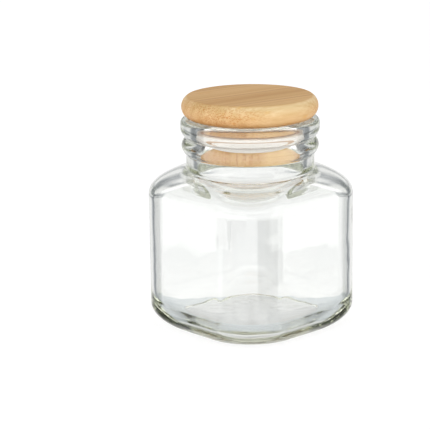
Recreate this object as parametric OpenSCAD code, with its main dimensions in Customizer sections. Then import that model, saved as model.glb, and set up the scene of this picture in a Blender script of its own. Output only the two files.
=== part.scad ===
// Small square glass storage jar with a push-in bamboo stopper.
// Millimetres, +Z up, origin in the middle of the base on the surface it stands on.
// The flat sides of the body are parallel to X and Y.

/* [Glass body] */
// Width of each side of the square body
body_w = 55; // [53:0.5:60]
// Radius of the upright corners, seen from above
corner_r = 15; // [14:0.2:17]
// Height at which the walls begin to turn in to the shoulder
shoulder_z = 42.8; // [39:0.2:44.4]
// Height of the rounded heel
heel_h = 7.5; // [6.5:0.25:8.5]
// Half width of the foot that it stands on, at the middle of a side
foot_a = 21.5; // [21.3:0.1:22]
// Radius of the foot across its corners
foot_R = 23.3; // [22.9:0.1:24]
// Thickness of the side walls
wall = 2.2; // [2:0.1:2.6]
// Thickness of the glass at the edge of the floor
base_t = 4.4; // [3.8:0.2:5.6]
// Half width of the flat floor inside, at the middle of a side
floor_a = 20.8; // [20:0.2:21.8]
// Radius of the flat floor across its corners
floor_R = 22.5; // [21.9:0.2:23.9]
// Height of the rounding between floor and walls
floor_h = 6.5; // [4.5:0.25:8]
// Depth of the shallow push-up under the base
pushup_h = 0.35; // [0.2:0.05:0.6]
// Width of the push-up's sloping edge
pushup_w = 1.3; // [1:0.1:2]
// Half width of the push-up, at the middle of a side
pushup_a = 20.4; // [19:0.1:20.8]
// Radius of the push-up across its corners
pushup_R = 21.8; // [20.5:0.1:22.3]

/* [Neck] */
// Height of the neck's root, where it stands on the shoulder
root_z = 51.6; // [50.6:0.2:52.6]
// Height of the rim
rim_z = 67.8; // [66.8:0.1:68.8]
// Outside radius of the plain neck
neck_r = 20.4; // [20:0.1:20.8]
// Radius of the bore that the stopper goes into
bore_r = 17; // [16.8:0.1:17.4]
// Outside radius of the rim bead
rim_r = 22.1; // [21.7:0.1:22.6]
// Outside radius of the second bead
bead_r = 21.8; // [21.4:0.1:22.3]
// Height of the second bead's crest
bead_z = 59.25; // [58.75:0.25:59.75]

/* [Stopper] */
// Thickness of the head
head_t = 7.1; // [6.35:0.25:7.35]
// Largest radius of the head
head_r = 21.7; // [21:0.05:22.5]
// Radius of the rounded edge of the head
edge_r = 3.8; // [3.7:0.1:4.2]
// Radius of the plug
plug_r = 15.4; // [15:0.05:15.7]
// Length of the plug below the head
plug_l = 12.2; // [11:0.2:14]
// Width of one bamboo strip in the glued board
strip_w = 13.75; // [12:0.25:15]
// Distance from the axis to the nearest glue line
strip_off = 2; // [-3:0.1:3]
// Direction of the grain, from +X
grain_angle = 82; // [0:1:180]

/* [Gasket] */
// Depth of the groove round the plug
groove_d = 1.2; // [0.8:0.1:1.5]
// Height of the groove's lower edge above the plug's end
groove_lo = 3.4; // [2.6:0.1:4]
// Height of the gasket
gasket_h = 5.4; // [5:0.1:6.4]
// Thickness of a rib at its root
fin_t = 1.6; // [1.3:0.1:1.6]
// Gap left between a rib and the glass
fin_gap = 0.08; // [0.05:0.01:0.1]

/* [Hidden] */
$fn = 96;

half = body_w / 2;
// Radius across the upright corners
corner_R = (half - corner_r) * sqrt(2) + corner_r;
root_r = neck_r + 0.3;
head_z = rim_z + 0.1;            // underside of the head, just clear of the rim
top_z = head_z + head_t;
edge_z = head_z + edge_r;        // height of the head's widest place
plug_z = head_z - plug_l;        // end of the plug
groove_z = plug_z + groove_lo;
groove_r = plug_r - groove_d;
gasket_ri = groove_r + 0.05;     // the gasket can creep round in its groove
gasket_rb = plug_r + 0.25;       // outside of its band, between the ribs
fin_r = bore_r - fin_gap;
N = 64;                          // points round each section of the body

// Radius in direction t of a rounded square of half width a and corner radius r
function fold(t) = let (m = ((t % 90) + 90) % 90) m > 45 ? 90 - m : m;
function rho(t, a, r) =
    let (u = fold(t), c = a - r)
    a * tan(u) <= c ? a / cos(u)
    : c * (cos(u) + sin(u)) + sqrt(max(0, r * r - c * c * pow(cos(u) - sin(u), 2)));

// One section of the body: [height, half width at mid side, radius across the corners]
function ring(s) =
    let (a = s[1], r = min(a, (sqrt(2) * a - s[2]) / (sqrt(2) - 1)))
    [for (i = [0 : N - 1]) let (t = 360 * i / N) [rho(t, a, r) * cos(t), rho(t, a, r) * sin(t), s[0]]];

module loft(sections) {
    M = len(sections);
    pts = concat([for (s = sections) each ring(s)],
                 [[0, 0, sections[0][0]], [0, 0, sections[M - 1][0]]]);
    sides = [for (j = [0 : M - 2], i = [0 : N - 1])
        let (k = (i + 1) % N)
        each [[j * N + i, (j + 1) * N + k, j * N + k],
              [j * N + i, (j + 1) * N + i, (j + 1) * N + k]]];
    caps = [for (i = [0 : N - 1]) let (k = (i + 1) % N)
        each [[M * N, i, k], [M * N + 1, (M - 1) * N + k, (M - 1) * N + i]]];
    polyhedron(points = pts, faces = concat(sides, caps));
}

// Sections of the outside: foot, heel (the upper part of an ellipse), upright walls, shoulder
q0 = 20;
outer = concat(
    [[-1, foot_a - 0.1, foot_R - 0.1]],
    [for (q = [q0 : 14 : 90]) let (d = (1 - sin(q)) / (1 - sin(q0)))
        [heel_h * (1 - cos(q) / cos(q0)), half - (half - foot_a) * d, corner_R - (corner_R - foot_R) * d]],
    [for (s = [0, 0.2, 0.36, 0.5, 0.62, 0.73, 0.82, 0.9, 0.96])
        [shoulder_z + (root_z - shoulder_z) * s,
         root_r + (half - root_r) * pow(1 - pow(s, 2.4), 0.56),
         root_r + (corner_R - root_r) * pow(1 - pow(s, 2.6), 0.82)]],
    [[root_z, root_r, root_r + 0.02]]);

// Sections of the hollow: rounded floor edge, upright walls, underside of the shoulder
in_half = half - wall;
in_R = corner_R - wall + 0.2;
in_top = root_z - 2.9;
inner = concat(
    [for (q = [0 : 15 : 90]) let (d = 1 - sin(q))
        [base_t + floor_h * (1 - cos(q)), in_half - (in_half - floor_a) * d, in_R - (in_R - floor_R) * d]],
    [for (s = [0, 0.25, 0.45, 0.62, 0.77, 0.9])
        [shoulder_z - 0.8 + (in_top - shoulder_z + 0.8) * s,
         bore_r + (in_half - bore_r) * pow(1 - pow(s, 2.4), 0.6),
         bore_r + (in_R - bore_r) * pow(1 - pow(s, 2.6), 0.82)]],
    [[in_top, bore_r + 0.1, bore_r + 0.12]]);

// Outline of the neck from the axis out: plain neck, second bead, rim bead
module neck_outline() {
    bead_c = 3.2;
    lip = 1.2;
    translate([0, root_z - 3]) square([neck_r, rim_z - lip - root_z + 3]);
    translate([bead_r - bead_c, bead_z]) circle(r = bead_c);
    translate([rim_r - 3, rim_z - 3]) circle(r = 3);
    translate([rim_r - lip, rim_z - lip]) circle(r = lip);
    translate([0, rim_z - 3]) square([rim_r, 3 - lip]);
    translate([0, rim_z - lip]) square([rim_r - lip, lip]);
}

module glass_jar() {
    lip = 1.2;
    color([0.86, 0.9, 0.9, 0.35])
    difference() {
        union() {
            loft(outer);
            rotate_extrude() neck_outline();
        }
        loft(inner);
        translate([0, 0, in_top - 1]) cylinder(r = bore_r, h = rim_z - in_top + 2);
        // rounded inner edge of the mouth
        rotate_extrude() difference() {
            translate([bore_r - 0.5, rim_z - lip]) square([lip + 0.5, lip + 1]);
            translate([bore_r + lip, rim_z - lip]) circle(r = lip);
        }
        // everything below the surface it stands on
        translate([-50, -50, -10]) cube([100, 100, 10]);
        // shallow push-up, so that it stands on a ring
        loft([[-0.5, pushup_a + 0.2, pushup_R + 0.2], [0, pushup_a, pushup_R],
              [pushup_h, pushup_a - pushup_w, pushup_R - pushup_w]]);
    }
}

// Half outline of the whole stopper, head and plug, with the gasket's groove
module stopper_outline() {
    difference() {
        union() {
            difference() {
                union() {
                    translate([head_r - edge_r, edge_z]) circle(r = edge_r);
                    translate([0, head_z]) square([head_r - edge_r, 2 * edge_r]);
                }
                translate([-1, top_z]) square([head_r + 2, 10]);
            }
            translate([0, plug_z + 0.5]) square([plug_r, plug_l - 0.4]);
            translate([0, plug_z]) square([plug_r - 0.5, 1]);
            translate([plug_r - 0.5, plug_z + 0.5]) circle(r = 0.5);
        }
        translate([groove_r, groove_z]) square([10, gasket_h]);
        translate([-20, plug_z - 5]) square([20, 60]);
    }
}

// The part of the stopper between two glue lines, lo and hi from the axis
module strip(lo, hi) {
    intersection() {
        rotate_extrude() stopper_outline();
        rotate([0, 0, grain_angle])
            translate([-30, lo, plug_z - 1]) cube([60, hi - lo, plug_l + head_t + 2]);
    }
}

module stopper_strip_near()
    color([0.86, 0.70, 0.48]) strip(-30, strip_off - strip_w);
module stopper_strip_mid_near()
    color([0.82, 0.66, 0.44]) strip(strip_off - strip_w, strip_off);
module stopper_strip_mid_far()
    color([0.85, 0.69, 0.46]) strip(strip_off, strip_off + strip_w);
module stopper_strip_far()
    color([0.83, 0.68, 0.47]) strip(strip_off + strip_w, 30);

// Band in the groove with three broad ribs towards the glass
module silicone_gasket() {
    z0 = groove_z + 0.05;
    h = gasket_h - 0.1;
    color([0.88, 0.88, 0.86, 0.8])
    rotate_extrude() {
        translate([gasket_ri, z0]) square([gasket_rb - gasket_ri, h]);
        for (k = [0 : 2]) {
            z = z0 + k * (h - fin_t) / 2;
            polygon([[gasket_rb - 0.1, z], [fin_r, z + 0.15], [fin_r, z + fin_t - 0.15],
                     [gasket_rb - 0.1, z + fin_t]]);
        }
    }
}

glass_jar();
stopper_strip_near();
stopper_strip_mid_near();
stopper_strip_mid_far();
stopper_strip_far();
silicone_gasket();
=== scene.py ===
import math

import bmesh
import bpy
import numpy as np
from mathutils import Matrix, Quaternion, Vector


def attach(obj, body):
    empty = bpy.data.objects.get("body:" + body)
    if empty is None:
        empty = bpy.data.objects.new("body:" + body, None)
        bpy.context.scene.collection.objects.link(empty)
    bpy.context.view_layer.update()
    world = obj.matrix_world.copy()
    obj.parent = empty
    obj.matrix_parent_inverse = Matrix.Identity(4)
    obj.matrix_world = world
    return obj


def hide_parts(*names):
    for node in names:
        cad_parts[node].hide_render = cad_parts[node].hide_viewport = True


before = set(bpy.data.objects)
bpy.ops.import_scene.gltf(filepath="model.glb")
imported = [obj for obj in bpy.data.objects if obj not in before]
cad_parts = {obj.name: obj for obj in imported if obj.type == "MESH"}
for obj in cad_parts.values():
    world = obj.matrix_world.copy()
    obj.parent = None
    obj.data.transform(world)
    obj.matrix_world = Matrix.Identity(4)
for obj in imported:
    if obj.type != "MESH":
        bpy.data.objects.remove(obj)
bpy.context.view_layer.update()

MM = 0.001
S2 = math.sqrt(2)

# ---------------------------------------------------------------- sizes, mm, as in the construction model
HALF, CORNER_R = 27.5, 15.0
CORNER = (HALF - CORNER_R) * S2 + CORNER_R
SHOULDER_Z, HEEL_H, HEEL_Q, FOOT_A, FOOT_R = 42.8, 7.5, 20.0, 21.5, 23.3
WALL, BASE_T, PUSH_H, PUSH_A, PUSH_R, PUSH_W = 2.2, 4.4, 0.35, 20.4, 21.8, 1.3
ROOT_Z, RIM_Z, NECK_R, BORE_R, RIM_R = 51.6, 67.8, 20.4, 17.0, 22.1
BEAD_R, BEAD_Z = 21.8, 59.25
HEAD_T, HEAD_R, EDGE_R, PLUG_R, PLUG_L = 7.1, 21.7, 3.8, 15.4, 12.2
STRIP_W, STRIP_OFF, GRAIN = 13.75, 2.0, 82.0
HEAD_Z = RIM_Z + 0.1
TOP_Z, EDGE_Z, PLUG_Z = HEAD_Z + HEAD_T, HEAD_Z + EDGE_R, HEAD_Z - PLUG_L
GROOVE_D, GROOVE_LO, GASKET_H, RIB_T = 1.2, 3.4, 5.4, 1.6
SEAM = 0.1
ROOT_R = NECK_R + 0.3
FLOOR_A, FLOOR_R, FLOOR_H, DISH = 20.8, 22.5, 6.5, 0.3
GROOVE_Z, GROOVE_R = PLUG_Z + GROOVE_LO, PLUG_R - GROOVE_D


# ---------------------------------------------------------------- helpers
def arc(cx, cz, r, a0, a1, n):
    t = np.radians(np.linspace(a0, a1, n))
    return [(cx + r * math.cos(x), cz + r * math.sin(x)) for x in t]


def resample(p, step):
    p = np.asarray(p, float)
    d = np.r_[0, np.cumsum(np.linalg.norm(np.diff(p, axis=0), axis=1))]
    keep = np.r_[True, np.diff(d) > 1e-9]
    p, d = p[keep], d[keep]
    n = max(2, int(round(d[-1] / step)) + 1)
    s = np.linspace(0, d[-1], n)
    return np.stack([np.interp(s, d, p[:, i]) for i in range(p.shape[1])], 1)


def soften(p, sigma, step):
    """Gaussian smoothing along an evenly spaced line, ends held."""
    k = int(4 * sigma / step)
    if k < 1:
        return p
    w = np.exp(-0.5 * (np.arange(-k, k + 1) * step / sigma) ** 2)
    w /= w.sum()
    a = 2 * p[:1] - p[1:k + 1][::-1]
    b = 2 * p[-1:] - p[-k - 1:-1][::-1]
    q = np.concatenate([a, p, b])
    return np.stack([np.convolve(q[:, i], w, "valid") for i in range(p.shape[1])], 1)


def rounded_square(theta, a, R):
    """Radius in direction theta of a rounded square: half width a, radius R across its corners."""
    r = np.minimum(a, (S2 * a - R) / (S2 - 1))
    c = a - r
    u = np.mod(theta, math.pi / 2)
    u = np.where(u > math.pi / 4, math.pi / 2 - u, u)
    flat = a / np.cos(u)
    k = c * (np.cos(u) + np.sin(u)) + np.sqrt(np.maximum(0, r * r - (c * (np.cos(u) - np.sin(u))) ** 2))
    return np.where(a * np.tan(u) <= c, flat, k)


def mesh_object(name, verts, faces, smooth=True):
    me = bpy.data.meshes.new(name)
    me.from_pydata([tuple(v) for v in verts], [], faces)
    me.validate()
    me.update()
    ob = bpy.data.objects.new(name, me)
    bpy.context.scene.collection.objects.link(ob)
    if smooth:
        me.shade_smooth()
    return ob


def closed_rings(rings):
    """Faces of a closed surface: first and last entries are single points, the others rings of equal length."""
    n = len(rings[1])
    verts = [rings[0]] + [p for r in rings[1:-1] for p in r] + [rings[-1]]
    faces = []
    base = lambda j: 1 + (j - 1) * n
    for i in range(n):
        k = (i + 1) % n
        faces.append((0, base(1) + k, base(1) + i))
    for j in range(1, len(rings) - 2):
        a, b = base(j), base(j + 1)
        for i in range(n):
            k = (i + 1) % n
            faces.append((a + i, a + k, b + k, b + i))
    last, a = len(verts) - 1, base(len(rings) - 2)
    for i in range(n):
        faces.append((a + i, a + (i + 1) % n, last))
    return verts, faces


def waves(seed, count, cyc, zlen):
    """A smooth random field over direction and height, seeded: whole cycles round, given wavelengths in height."""
    rng = np.random.RandomState(seed)
    parts = []
    for _ in range(count):
        m = rng.randint(cyc[0], cyc[1] + 1)
        L = rng.uniform(*zlen)
        parts.append((m, 2 * math.pi / L * rng.choice([-1, 1]), rng.uniform(0, 2 * math.pi), rng.uniform(0.5, 1)))
    norm = math.sqrt(sum(p[3] ** 2 for p in parts) / 2)
    return lambda th, z: sum(w * np.sin(m * th + q * z + f) for m, q, f, w in parts) / norm


# ---------------------------------------------------------------- glass
def glass_profile():
    """The whole section of the glass as (height, half width, radius across corners), from the middle of the
    underside, up the outside, over the rim, down the bore and the inside to the middle of the floor."""
    def circ(pts):
        return [(z, r, r) for r, z in pts]
    out = []
    a0, R0 = PUSH_A - PUSH_W, PUSH_R - PUSH_W
    for t in np.linspace(0.02, 1, 24):
        out.append((PUSH_H, a0 * t, a0 * t + (R0 - a0) * t * t))
    out.append((0.0, PUSH_A, PUSH_R))
    for t in np.linspace(0, 1, 4)[1:]:
        out.append((0.0, PUSH_A + (FOOT_A - PUSH_A) * t, PUSH_R + (FOOT_R - PUSH_R) * t))
    q0 = math.radians(HEEL_Q)
    for q in np.linspace(q0, math.pi / 2, 24)[1:]:
        d = (1 - math.sin(q)) / (1 - math.sin(q0))
        out.append((HEEL_H * (1 - math.cos(q) / math.cos(q0)), HALF - (HALF - FOOT_A) * d, CORNER - (CORNER - FOOT_R) * d))
    for s in np.linspace(0, 0.985, 60):
        out.append((SHOULDER_Z + (ROOT_Z - SHOULDER_Z) * s,
                    ROOT_R + (HALF - ROOT_R) * (1 - s ** 2.4) ** 0.56,
                    ROOT_R + (CORNER - ROOT_R) * (1 - s ** 2.6) ** 0.82))
    neck = []
    h = math.sqrt(3.2 ** 2 - (NECK_R - (BEAD_R - 3.2)) ** 2)
    a = math.degrees(math.atan2(h, NECK_R - (BEAD_R - 3.2)))
    neck.append((NECK_R + 0.12, ROOT_Z + 0.35))
    neck.append((NECK_R, ROOT_Z + 1.2))
    neck.append((NECK_R, BEAD_Z - h))
    for k, (r, zc) in enumerate(arc(BEAD_R - 3.2, BEAD_Z, 3.2, -a, a, 121)):
        seam = math.exp(-((zc - BEAD_Z - 0.1) / 0.22) ** 2)
        neck.append((r + SEAM * seam, zc))
    h1 = math.sqrt(9 - (NECK_R - (RIM_R - 3)) ** 2)
    a1 = math.degrees(math.atan2(h1, NECK_R - (RIM_R - 3)))
    neck += arc(RIM_R - 3, RIM_Z - 3, 3, -a1, 0, 30)
    neck += arc(RIM_R - 1.2, RIM_Z - 1.2, 1.2, 0, 90, 16)
    neck += arc(BORE_R + 1.2, RIM_Z - 1.2, 1.2, 90, 180, 16)
    in_top = ROOT_Z - 2.9
    neck.append((BORE_R, in_top + 1.0))
    out += circ(neck)
    in_half, in_R = HALF - WALL, CORNER - 2.0
    z1 = SHOULDER_Z - 0.8
    for s in np.linspace(0.985, 0, 50):
        out.append((z1 + (in_top - z1) * s, BORE_R + (in_half - BORE_R) * (1 - s ** 2.4) ** 0.6,
                    BORE_R + (in_R - BORE_R) * (1 - s ** 2.6) ** 0.82))
    for q in np.radians(np.linspace(90, 0, 24)):
        d = 1 - math.sin(q)
        out.append((BASE_T + FLOOR_H * (1 - math.cos(q)), in_half - (in_half - FLOOR_A) * d, in_R - (in_R - FLOOR_R) * d))
    e = out[-1]
    for t in np.linspace(1, 0.01, 12)[1:]:
        out.append((BASE_T - DISH * (1 - t * t), e[1] * t, e[1] * t + (e[2] - e[1]) * t * t))
    p = resample(out, 0.1)
    return soften(p, 0.28, 0.1)


def build_glass():
    p = glass_profile()
    # closer rings round the neck, wider ones on the plain walls
    keep, last = [0], p[0]
    for i in range(1, len(p)):
        z, a, R = p[i]
        step = 0.28 if z > 47 else (0.45 if z > 40 or z < 8 else 0.8)
        if a < 15 and z < 10:
            step = 0.9
        if np.linalg.norm(p[i] - last) >= step:
            keep.append(i)
            last = p[i]
    q = p[keep]
    n = 288
    th = (np.arange(n) + 0.5) * 2 * math.pi / n
    inside_from = int(np.argmax(q[:, 0])) + 6
    w_in = waves(11, 14, (2, 9), (14, 60))
    w_in2 = waves(5, 18, (6, 22), (5, 18))
    w_out = waves(3, 10, (2, 7), (20, 70))
    rings = []
    for j, (z, a, R) in enumerate(q):
        r = rounded_square(th, a, R)
        inner = j > inside_from
        if inner:
            k = np.clip((46 - z) / 8, 0, 1) * min(1, a / 15)
            r = r + k * (0.03 * w_in(th, z) + 0.008 * w_in2(th, z))
        else:
            k = np.clip((47 - z) / 8, 0, 1) * np.clip((z - 2) / 6, 0, 1)
            r = r - k * 0.03 * np.abs(w_out(th, z))
        zz = z + (0.01 * min(1, a / 12) * w_in2(th, a) if inner and z < BASE_T + 1 else 0) * np.ones(n)
        rings.append([(x * MM, y * MM, h * MM) for x, y, h in zip(r * np.cos(th), r * np.sin(th), zz)])
    top = (0, 0, q[0, 0] * MM)
    end = (0, 0, q[-1, 0] * MM)
    verts, faces = closed_rings([top] + rings + [end])
    return mesh_object("jar_glass", verts, faces)


# ---------------------------------------------------------------- lathe work
def lathe(pts, n):
    """A closed turned solid from an (r, z) outline that starts and ends on the axis."""
    th = np.arange(n) * 2 * math.pi / n
    rings = [(0, 0, pts[0][1] * MM)]
    for r, z in pts[1:-1]:
        rings.append([(r * math.cos(t) * MM, r * math.sin(t) * MM, z * MM) for t in th])
    rings.append((0, 0, pts[-1][1] * MM))
    return closed_rings(rings)


def stopper_outline():
    c = HEAD_R - EDGE_R
    up = math.degrees(math.asin((TOP_Z - EDGE_Z) / EDGE_R))
    ring_line = c + EDGE_R * math.cos(math.radians(up))
    line = [(0.0, PLUG_Z), (PLUG_R - 0.5, PLUG_Z)]
    line += arc(PLUG_R - 0.5, PLUG_Z + 0.5, 0.5, -90, 0, 6)
    line += [(PLUG_R, GROOVE_Z), (GROOVE_R, GROOVE_Z), (GROOVE_R, GROOVE_Z + GASKET_H), (PLUG_R, GROOVE_Z + GASKET_H),
             (PLUG_R, HEAD_Z), (c, HEAD_Z)]
    line += arc(c, EDGE_Z, EDGE_R, -90, up, 40)
    line += [(ring_line, TOP_Z), (0.0, TOP_Z)]
    p = soften(resample(line, 0.05), 0.07, 0.05)
    p[:, 0] = np.maximum(p[:, 0], 0)
    keep, last = [0], p[0]
    for i in range(1, len(p) - 1):
        step = 1.2 if p[i, 0] < PLUG_R - 1.5 else 0.25
        t0 = p[min(i + 1, len(p) - 1)] - p[i]
        t1 = p[i] - p[i - 1]
        bend = abs(t0[0] * t1[1] - t0[1] * t1[0]) > 1e-5
        if np.linalg.norm(p[i] - last) >= (0.1 if bend else step):
            keep.append(i)
            last = p[i]
    keep.append(len(p) - 1)
    q = p[keep]
    q[0, 0] = q[-1, 0] = 0
    return [tuple(x) for x in q]


def build_strips():
    verts, faces = lathe(stopper_outline(), 224)
    g = math.radians(GRAIN)
    n = Vector((-math.sin(g), math.cos(g), 0))
    edges = [None, STRIP_OFF - STRIP_W, STRIP_OFF, STRIP_OFF + STRIP_W, None]
    names = ["stopper_strip_near", "stopper_strip_mid_near", "stopper_strip_mid_far", "stopper_strip_far"]
    out = []
    for k, name in enumerate(names):
        bm = bmesh.new()
        vs = [bm.verts.new(v) for v in verts]
        for f in faces:
            bm.faces.new([vs[i] for i in f])
        bm.normal_update()
        for d, sign in ((edges[k], -1), (edges[k + 1], 1)):
            if d is None:
                continue
            geom = bm.verts[:] + bm.edges[:] + bm.faces[:]
            r = bmesh.ops.bisect_plane(bm, geom=geom, dist=1e-7, plane_co=n * (d * MM), plane_no=n * sign, clear_outer=True)
            cut = [e for e in r["geom_cut"] if isinstance(e, bmesh.types.BMEdge)]
            bmesh.ops.triangle_fill(bm, use_beauty=True, use_dissolve=False, edges=cut, normal=n * sign)
        bmesh.ops.recalc_face_normals(bm, faces=bm.faces[:])
        me = bpy.data.meshes.new(name + "_wood")
        bm.to_mesh(me)
        bm.free()
        ob = bpy.data.objects.new(name + "_wood", me)
        bpy.context.scene.collection.objects.link(ob)
        me.shade_smooth()
        # the glued faces stay flat, so that they don't tilt the shading of the outside
        planes = [edges[i] * MM for i in (k, k + 1) if edges[i] is not None]
        for p in me.polygons:
            cut = any(all(abs(me.vertices[v].co.dot(n) - d) < 2e-6 for v in p.vertices) for d in planes)
            p.use_smooth = not cut
        for e in me.edges:
            e.use_edge_sharp = any(all(abs(me.vertices[v].co.dot(n) - d) < 2e-6 for v in e.vertices) for d in planes)
        out.append((ob, name))
    return out


def build_gasket():
    ri, rb, rf = GROOVE_R + 0.05, PLUG_R + 0.25, BORE_R - 0.08
    z0, h = GROOVE_Z + 0.05, GASKET_H - 0.1
    line = [(ri, z0)]
    for k in range(3):
        z = z0 + k * (h - RIB_T) / 2
        line += [(rb, z), (rf, z + 0.15), (rf, z + RIB_T - 0.15), (rb, z + RIB_T)]
    line += [(ri, z0 + h), (ri, z0)]
    p = soften(resample(line, 0.03), 0.045, 0.03)
    p = resample(p, 0.1)[:-1]
    n, m = 224, len(p)
    th = np.arange(n) * 2 * math.pi / n
    verts = [(r * math.cos(t) * MM, r * math.sin(t) * MM, z * MM) for r, z in p for t in th]
    faces = []
    for j in range(m):
        for i in range(n):
            k, l = (i + 1) % n, (j + 1) % m
            faces.append((j * n + i, j * n + k, l * n + k, l * n + i))
    return mesh_object("gasket_ring", verts, faces)


# ---------------------------------------------------------------- materials
def new_mat(name):
    m = bpy.data.materials.new(name)
    m.use_nodes = True
    nt = m.node_tree
    nt.nodes.clear()
    out = nt.nodes.new("ShaderNodeOutputMaterial")
    b = nt.nodes.new("ShaderNodeBsdfPrincipled")
    nt.links.new(b.outputs[0], out.inputs["Surface"])
    return m, nt, b, out


def glass_mat():
    m, nt, b, out = new_mat("clear_glass")
    b.inputs["Base Color"].default_value = (0.985, 0.992, 0.99, 1)
    b.inputs["Roughness"].default_value = 0.0
    b.inputs["IOR"].default_value = 1.517
    b.inputs["Transmission Weight"].default_value = 1.0
    v = nt.nodes.new("ShaderNodeVolumeAbsorption")
    v.inputs["Color"].default_value = (0.62, 0.64, 0.52, 1)
    v.inputs["Density"].default_value = 25.0
    nt.links.new(v.outputs[0], out.inputs["Volume"])
    return m


def silicone_mat():
    m, nt, b, out = new_mat("silicone")
    tc = nt.nodes.new("ShaderNodeTexCoord")
    flat = nt.nodes.new("ShaderNodeVectorMath")
    flat.operation = "MULTIPLY"
    flat.inputs[1].default_value = (1, 1, 0)
    nt.links.new(tc.outputs["Object"], flat.inputs[0])
    far = nt.nodes.new("ShaderNodeVectorMath")
    far.operation = "LENGTH"
    nt.links.new(flat.outputs[0], far.inputs[0])
    # the wood shows through where the silicone is thin, between the ribs, and the brown there is partly painted shade
    # in the recesses between them
    r = nt.nodes.new("ShaderNodeMapRange")
    r.inputs["From Min"].default_value = (PLUG_R + 0.3) * MM
    r.inputs["From Max"].default_value = (PLUG_R + 0.7) * MM
    nt.links.new(far.outputs["Value"], r.inputs["Value"])
    mix = nt.nodes.new("ShaderNodeMixRGB")
    mix.inputs[1].default_value = (0.50, 0.30, 0.16, 1)
    mix.inputs[2].default_value = (0.84, 0.79, 0.75, 1)
    nt.links.new(r.outputs[0], mix.inputs[0])
    # a thin brown line is painted round it near its top
    sp = nt.nodes.new("ShaderNodeSeparateXYZ")
    nt.links.new(tc.outputs["Object"], sp.inputs[0])
    ring_line = nt.nodes.new("ShaderNodeMath")
    ring_line.operation = "COMPARE"
    nt.links.new(sp.outputs["Z"], ring_line.inputs[0])
    ring_line.inputs[1].default_value = (GROOVE_Z + 4.72) * MM
    ring_line.inputs[2].default_value = 0.035 * MM
    mix2 = nt.nodes.new("ShaderNodeMixRGB")
    nt.links.new(ring_line.outputs[0], mix2.inputs[0])
    nt.links.new(mix.outputs[0], mix2.inputs[1])
    mix2.inputs[2].default_value = (0.50, 0.30, 0.16, 1)
    nt.links.new(mix2.outputs[0], b.inputs["Base Color"])
    b.inputs["Roughness"].default_value = 0.35
    b.inputs["IOR"].default_value = 1.41
    return m


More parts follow.
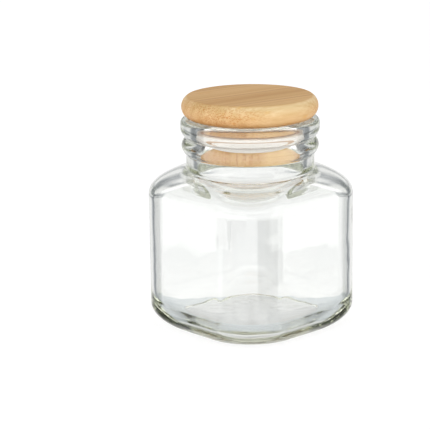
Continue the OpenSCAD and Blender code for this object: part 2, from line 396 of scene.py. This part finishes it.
def bamboo_mat(name, light, dark, shift):
    m, nt, b, out = new_mat(name)
    N, L = nt.nodes, nt.links
    tc = N.new("ShaderNodeTexCoord")
    rot = N.new("ShaderNodeMapping")
    rot.inputs["Rotation"].default_value = (0, 0, -math.radians(GRAIN))
    L.new(tc.outputs["Object"], rot.inputs["Vector"])

    def mapped(scale, loc=(0, 0, 0)):
        k = N.new("ShaderNodeMapping")
        k.inputs["Scale"].default_value = scale
        k.inputs["Location"].default_value = loc
        L.new(rot.outputs[0], k.inputs["Vector"])
        return k.outputs[0]

    def ramp(src, a, ca, c, cc, mode="LINEAR"):
        r = N.new("ShaderNodeValToRGB")
        r.color_ramp.interpolation = mode
        r.color_ramp.elements[0].position, r.color_ramp.elements[0].color = a, ca
        r.color_ramp.elements[1].position, r.color_ramp.elements[1].color = c, cc
        L.new(src, r.inputs[0])
        return r

    def math_node(op, *vals):
        k = N.new("ShaderNodeMath")
        k.operation = op
        for i, v in enumerate(vals):
            if isinstance(v, (int, float)):
                k.inputs[i].default_value = v
            else:
                L.new(v, k.inputs[i])
        return k.outputs[0]

    def tint(col, fac, rgb):
        k = N.new("ShaderNodeMixRGB")
        k.blend_type = "MULTIPLY"
        L.new(fac, k.inputs[0])
        L.new(col, k.inputs[1])
        k.inputs[2].default_value = (*rgb, 1)
        return k.outputs[0]

    # how far the surface is cut across the grain, and where it lies in the board
    nrot = N.new("ShaderNodeMapping")
    nrot.vector_type = "NORMAL"
    nrot.inputs["Rotation"].default_value = (0, 0, -math.radians(GRAIN))
    L.new(tc.outputs["Normal"], nrot.inputs["Vector"])
    sn = N.new("ShaderNodeSeparateXYZ")
    L.new(nrot.outputs[0], sn.inputs[0])
    end = ramp(math_node("ABSOLUTE", sn.outputs["X"]), 0.28, (0, 0, 0, 1), 0.72, (1, 1, 1, 1)).outputs[0]
    sp = N.new("ShaderNodeSeparateXYZ")
    L.new(rot.outputs[0], sp.inputs[0])

    # fibre bundles: long rods along the grain, so they show as streaks on the face and as dots on the ends
    vo = N.new("ShaderNodeTexVoronoi")
    vo.feature = "F1"
    vo.inputs["Scale"].default_value = 1.0
    vo.inputs["Randomness"].default_value = 0.9
    L.new(mapped((26, 2300, 2800), (shift, shift * 3, 0)), vo.inputs["Vector"])
    dots = ramp(vo.outputs["Distance"], 0.25, (1, 1, 1, 1), 0.62, (0, 0, 0, 1))
    # where bundles crowd together
    dn = N.new("ShaderNodeTexNoise")
    dn.inputs["Scale"].default_value = 1.0
    dn.inputs["Detail"].default_value = 3.0
    L.new(mapped((14, 230, 420), (shift * 2, 0, shift)), dn.inputs["Vector"])
    crowd = ramp(dn.outputs["Fac"], 0.34, (0.5, 0.5, 0.5, 1), 0.58, (1, 1, 1, 1))
    mul = math_node("MULTIPLY", math_node("MULTIPLY", dots.outputs[0], crowd.outputs[0]),
                    math_node("MULTIPLY_ADD", end, 0.66, 0.12))
    # long streaks of tone
    st = N.new("ShaderNodeTexNoise")
    st.inputs["Scale"].default_value = 1.0
    st.inputs["Detail"].default_value = 6.0
    st.inputs["Roughness"].default_value = 0.65
    L.new(mapped((7, 330, 330), (shift, 1.7 * shift, 0)), st.inputs["Vector"])
    tone = ramp(st.outputs["Fac"], 0.36, light, 0.66, dark)
    mix = N.new("ShaderNodeMixRGB")
    mix.blend_type = "MIX"
    L.new(mul, mix.inputs[0])
    L.new(tone.outputs[0], mix.inputs[1])
    mix.inputs[2].default_value = (dark[0] * 0.84, dark[1] * 0.50, dark[2] * 0.16, 1)
    # painted light: the sides and the rounded edge are made paler than the top by the slope of the surface, standing
    # in for the light from the front; the plug, below the head, is tinted more orange
    painted_side_light = N.new("ShaderNodeMix")
    painted_side_light.data_type = "VECTOR"
    painted_side_light.inputs[4].default_value = (1, 1, 1)
    painted_side_light.inputs[5].default_value = (1.30, 1.72, 2.95)
    L.new(math_node("MULTIPLY", ramp(sn.outputs["Z"], 0.72, (1, 1, 1, 1), 0.97, (0, 0, 0, 1)).outputs[0],
                    math_node("MULTIPLY_ADD", end, -0.3, 1.0)), painted_side_light.inputs[0])
    plug = N.new("ShaderNodeMix")
    plug.data_type = "VECTOR"
    plug.inputs[4].default_value = (1, 1, 1)
    plug.inputs[5].default_value = (1.08, 0.93, 0.72)
    L.new(math_node("LESS_THAN", sp.outputs["Z"], HEAD_Z * MM), plug.inputs[0])
    both = N.new("ShaderNodeVectorMath")
    both.operation = "MULTIPLY"
    L.new(painted_side_light.outputs[1], both.inputs[0])
    L.new(plug.outputs[1], both.inputs[1])
    lit = N.new("ShaderNodeVectorMath")
    lit.operation = "MULTIPLY"
    L.new(mix.outputs[0], lit.inputs[0])
    L.new(both.outputs[0], lit.inputs[1])
    col = lit.outputs[0]
    # painted shade: the lower part of the head's edge, which faces down, is tinted darker orange
    painted_underside_shade = math_node("MULTIPLY", ramp(sp.outputs["Z"], 0.0683, (1, 1, 1, 1), 0.0712, (0, 0, 0, 1)).outputs[0],
                    math_node("GREATER_THAN", sp.outputs["Z"], HEAD_Z * MM))
    col = tint(col, painted_underside_shade, (0.90, 0.46, 0.12))
    # thin dark glue lines between the strips
    off = math_node("PINGPONG", math_node("SUBTRACT", sp.outputs["Y"], STRIP_OFF * MM), STRIP_W * MM / 2)
    line = ramp(math_node("MULTIPLY", off, 1000.0), 0.1, (1, 1, 1, 1), 0.38, (0, 0, 0, 1)).outputs[0]
    col = tint(col, math_node("MULTIPLY", line, ramp(sn.outputs["Z"], 0.9, (0.12, 0.12, 0.12, 1), 0.99, (1, 1, 1, 1)).outputs[0]), (0.74, 0.58, 0.48))
    # small golden spots
    sv = N.new("ShaderNodeTexVoronoi")
    sv.inputs["Scale"].default_value = 1.0
    L.new(mapped((90, 260, 260), (3 * shift, shift, 1)), sv.inputs["Vector"])
    spot = ramp(sv.outputs["Distance"], 0.05, (0.7, 0.7, 0.7, 1), 0.2, (0, 0, 0, 1)).outputs[0]
    col = tint(col, spot, (1.0, 0.85, 0.5))
    L.new(col, b.inputs["Base Color"])
    rr = ramp(st.outputs["Fac"], 0.3, (0.5, 0.5, 0.5, 1), 0.75, (0.62, 0.62, 0.62, 1))
    L.new(rr.outputs[0], b.inputs["Roughness"])
    b.inputs["IOR"].default_value = 1.45
    bump = N.new("ShaderNodeBump")
    bump.inputs["Strength"].default_value = 0.25
    bump.inputs["Distance"].default_value = 0.0002
    L.new(mul, bump.inputs["Height"])
    L.new(bump.outputs[0], b.inputs["Normal"])
    return m


# ---------------------------------------------------------------- the object
GLASS = glass_mat()
jar = build_glass()
jar.data.materials.append(GLASS)
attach(jar, "jar")
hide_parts("glass_jar")

TONES = {
    "stopper_strip_near": ("bamboo_a", (0.62, 0.370, 0.125, 1), (0.50, 0.262, 0.068, 1), 0.3),
    "stopper_strip_mid_near": ("bamboo_b", (0.59, 0.345, 0.110, 1), (0.48, 0.250, 0.062, 1), 1.4),
    "stopper_strip_mid_far": ("bamboo_c", (0.63, 0.380, 0.134, 1), (0.51, 0.272, 0.074, 1), 2.9),
    "stopper_strip_far": ("bamboo_d", (0.61, 0.360, 0.118, 1), (0.49, 0.258, 0.066, 1), 4.1),
}
for ob, node in build_strips():
    slot, light, dark, shift = TONES[node]
    ob.data.materials.append(bamboo_mat(slot, light, dark, shift))
    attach(ob, "stopper")
    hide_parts(node)

gasket = build_gasket()
gasket.data.materials.append(silicone_mat())
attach(gasket, "gasket")
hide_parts("silicone_gasket")

# ---------------------------------------------------------------- studio
scene = bpy.context.scene


def plain_mat(name, color, rough=0.9, glow=0.0):
    m, nt, b, out = new_mat(name)
    b.inputs["Base Color"].default_value = (*color, 1)
    b.inputs["Roughness"].default_value = rough
    if glow:
        b.inputs["Emission Color"].default_value = (1, 1, 1, 1)
        b.inputs["Emission Strength"].default_value = glow
    return m


CAM_AZ = 0.8046
CAM_D, CAM_H = 0.55, 0.1757
to_cam = Vector((math.sin(CAM_AZ), -math.cos(CAM_AZ), 0))
right = Vector((math.cos(CAM_AZ), math.sin(CAM_AZ), 0))


def lift(x, lo, hi):
    """Smooth step from 0 at lo to 1 at hi (or down when hi is below lo)."""
    t = min(1.0, max(0.0, (x - lo) / (hi - lo)))
    return t * t * (3 - 2 * t)


def seen_by(ob, *kinds):
    """Keep a studio piece to some kinds of ray: camera, diffuse, glossy (reflected) or transmission (refracted)."""
    for k in ("camera", "diffuse", "glossy", "transmission"):
        setattr(ob, "visible_" + k, k in kinds)
    ob.visible_shadow = False
    ob.visible_volume_scatter = False


def glow_mat():
    m = bpy.data.materials.new("studio_glow")
    m.use_nodes = True
    nt = m.node_tree
    nt.nodes.clear()
    out = nt.nodes.new("ShaderNodeOutputMaterial")
    e = nt.nodes.new("ShaderNodeEmission")
    at = nt.nodes.new("ShaderNodeAttribute")
    at.attribute_name = "glow"
    nt.links.new(at.outputs["Color"], e.inputs["Color"])
    nt.links.new(e.outputs[0], out.inputs["Surface"])
    return m


GLOW = glow_mat()
SCREEN, CALM = 1.95, 0.82


def dome(name, radius, light, *kinds):
    """A round light tent: light(turn, tilt) gives its brightness in the direction turned that many degrees from
    straight behind the jar (to the right is positive), and tilted that many degrees above the horizon."""
    na, ne = 240, 120
    verts, glow = [], []
    for j in range(ne + 1):
        e = -90 + 180 * j / ne
        for i in range(na):
            t = -180 + 360 * i / na
            d = (right * math.sin(math.radians(t)) - to_cam * math.cos(math.radians(t))) * math.cos(math.radians(e))
            verts.append((d.x * radius, d.y * radius, 0.03 + radius * math.sin(math.radians(e))))
            v = light(t, e)
            glow.append(v if isinstance(v, tuple) else (v, v, v))
    faces = [(j * na + i, (j + 1) * na + i, (j + 1) * na + (i + 1) % na, j * na + (i + 1) % na)
             for j in range(ne) for i in range(na)]
    o = mesh_object(name, verts, faces, smooth=False)
    a = o.data.color_attributes.new("glow", "FLOAT_COLOR", "POINT")
    for i, g in enumerate(glow):
        a.data[i].color = (*g, 1)
    o.data.materials.append(GLOW)
    seen_by(o, *kinds)
    return o


# the floor that the camera sees
floor = mesh_object("studio_floor", [(-3, -3, 0), (3, -3, 0), (3, 3, 0), (-3, 3, 0)], [(0, 1, 2, 3)], smooth=False)
floor.data.materials.append(plain_mat("studio_floor", (0.35, 0.35, 0.35), glow=0.72))
seen_by(floor, "camera")

# the table as the glass sees it, a glowing sheet with the jar's shadow painted on: it ends just behind the jar
def grid(name, x0, x1, y0, y1, n, color):
    """A level sheet in the view's own directions, with a colour at each point."""
    pts = [(x0 + (x1 - x0) * i / n, y0 + (y1 - y0) * j / n) for j in range(n + 1) for i in range(n + 1)]
    o = mesh_object(name, [tuple(right * x + to_cam * y + Vector((0, 0, 0.00001))) for x, y in pts],
                    [(j * (n + 1) + i, j * (n + 1) + i + 1, (j + 1) * (n + 1) + i + 1, (j + 1) * (n + 1) + i)
                     for j in range(n) for i in range(n)], smooth=False)
    a = o.data.color_attributes.new("glow", "FLOAT_COLOR", "POINT")
    for k, (x, y) in enumerate(pts):
        a.data[k].color = (*color(x, y), 1)
    o.data.materials.append(GLOW)
    return o


TABLE_END = -0.0185


def table_painted_shadow(x, y):
    """Painted shadow of the jar: neutral grey under the push-up, a little cooler round it, with a soft dark streak in
    the middle.
    """
    p = right * x + to_cam * y
    edge = lift(max(abs(p.x), abs(p.y), p.length - 0.0014), 0.0195, 0.0212)
    painted_dark_streak = 1 - 0.2 * math.exp(-(x / 0.0016) ** 2) * (1 - edge)
    if edge > 0.5 and y < TABLE_END:
        return (0.89, 0.89, 0.89)
    return tuple(painted_dark_streak * (a + (b - a) * edge) for a, b in zip((0.60, 0.60, 0.60), (0.575, 0.615, 0.635)))


table = grid("studio_table", -0.045, 0.045, -0.0265, 0.045, 200, table_painted_shadow)
seen_by(table, "transmission")


def tent(turn, tilt, mirrored=False):
    """The studio as the glass and the wood's sheen see it: a white wall behind with two grey bands above the
    level of the lid, dark gaps to both sides of it, bright screens left and right, a dark gap to the front right."""
    t = abs(turn)
    v = 0.32 + 0.57 * lift(t, 46, 36)
    bands = max(lift(tilt, 2, 6) * lift(tilt, 12, 9), lift(tilt, 15, 18) * lift(tilt, 26, 22))
    v *= 1 - 0.68 * bands * lift(t, 4.5, 9)
    v = max(v, SCREEN * lift(t, 73, 84))
    v *= 1 + 0.3 * lift(t, 97, 103) * lift(tilt, 0, 8)
    calm = lift(t, 95.5, 99.5) * lift(tilt, -32, -26) * lift(tilt, -3, -7)
    if turn > 0:
        calm *= max(lift(tilt, -12.7, -13.3), lift(turn, 162, 168))
    elif not mirrored:
        v *= 1 - 0.5 * calm * lift(t, 114, 110)
    v = v * (1 - calm) + (2.9 if mirrored else min(v, CALM)) * calm
    if turn > 0:
        gap = lift(turn, 94, 98) * lift(turn, 164, 160) * lift(tilt, -12.7, -13.3) * lift(tilt, -17.6, -16.6)
    else:
        gap = 0.8 * lift(turn, -82, -80) * lift(turn, -71, -73) * lift(tilt, 24, 14)
    v = v * (1 - gap) + 0.02 * gap
    over = lift(tilt, 24, 45)
    v = v * (1 - over) + 1.3 * over
    cool = lift(v, 0.9, 0.3) * lift(t, 75, 60)
    return (v * (1 - 0.06 * cool), v * (1 - 0.01 * cool), v * (1 + 0.05 * cool))


# seen through the glass, and mirrored in its outside
dome("studio_tent", 1.5, tent, "transmission")
dome("studio_sheen", 1.5, lambda turn, tilt: tent(turn, tilt, True), "glossy")


def toward(turn, tilt, radius):
    a, e = math.radians(turn), math.radians(tilt)
    d = (right * math.sin(a) - to_cam * math.cos(a)) * math.cos(e)
    return (d.x * radius, d.y * radius, 0.03 + radius * math.sin(e))


# a small dark card to the front left, mirrored once in the glass
card = mesh_object("studio_card", [toward(u, v, 1.45) for u, v in
                   ((-122, -13.9), (-128, -15.0), (-132, -15.0), (-138, -14.1))], [(0, 1, 2, 3)], smooth=False)
shade = card.data.color_attributes.new("glow", "FLOAT_COLOR", "POINT")
for k in range(4):
    shade.data[k].color = (0.2, 0.21, 0.23, 1)
card.data.materials.append(GLOW)
seen_by(card, "glossy")

world = bpy.data.worlds.new("studio")
scene.world = world
world.use_nodes = True
wn = world.node_tree
wn.nodes.clear()
wo = wn.nodes.new("ShaderNodeOutputWorld")
bg = wn.nodes.new("ShaderNodeBackground")
tcw = wn.nodes.new("ShaderNodeTexCoord")
sep = wn.nodes.new("ShaderNodeSeparateXYZ")
rw = wn.nodes.new("ShaderNodeValToRGB")
rw.color_ramp.elements[0].position, rw.color_ramp.elements[0].color = 0.35, (1, 1, 1, 1)
rw.color_ramp.elements[1].position, rw.color_ramp.elements[1].color = 0.9, (0.45, 0.45, 0.45, 1)
wn.links.new(tcw.outputs["Generated"], sep.inputs[0])
wn.links.new(sep.outputs["Z"], rw.inputs[0])
wn.links.new(rw.outputs[0], bg.inputs["Color"])
bg.inputs["Strength"].default_value = 1.0
wn.links.new(bg.outputs[0], wo.inputs[0])


def area(name, pos, target, size, power, color=(1, 1, 1)):
    d = bpy.data.lights.new(name, "AREA")
    d.shape = "RECTANGLE"
    d.size, d.size_y = size
    d.energy = power
    d.color = color
    o = bpy.data.objects.new(name, d)
    scene.collection.objects.link(o)
    o.location = pos
    o.rotation_euler = (Vector(target) - Vector(pos)).to_track_quat("-Z", "Y").to_euler()
    o.visible_transmission = o.visible_glossy = False
    return o


mid = (0, 0, 0.04)
area("front_left", to_cam * 0.7 - right * 0.5 + Vector((0, 0, 0.5)), mid, (0.5, 0.5), 2.0)
area("front_right", to_cam * 0.6 + right * 0.7 + Vector((0, 0, 0.45)), mid, (0.5, 0.5), 2.0)

cam_data = bpy.data.cameras.new("camera")
cam = bpy.data.objects.new("camera", cam_data)
scene.collection.objects.link(cam)
cam_data.lens = 147.9
cam_data.sensor_width = 36
cam_data.clip_start = 0.01
cam.location = to_cam * CAM_D + Vector((0, 0, CAM_H))
aim = Vector((0, 0, 0.036)) - right * 0.0115
cam.rotation_euler = ((aim - cam.location).to_track_quat("-Z", "Y") @ Quaternion((0, 0, 1), -0.0148)).to_euler()
scene.camera = cam

scene.view_settings.view_transform = "Standard"
scene.view_settings.look = "None"
scene.cycles.max_bounces = 96
scene.cycles.transmission_bounces = 96
scene.cycles.glossy_bounces = 96
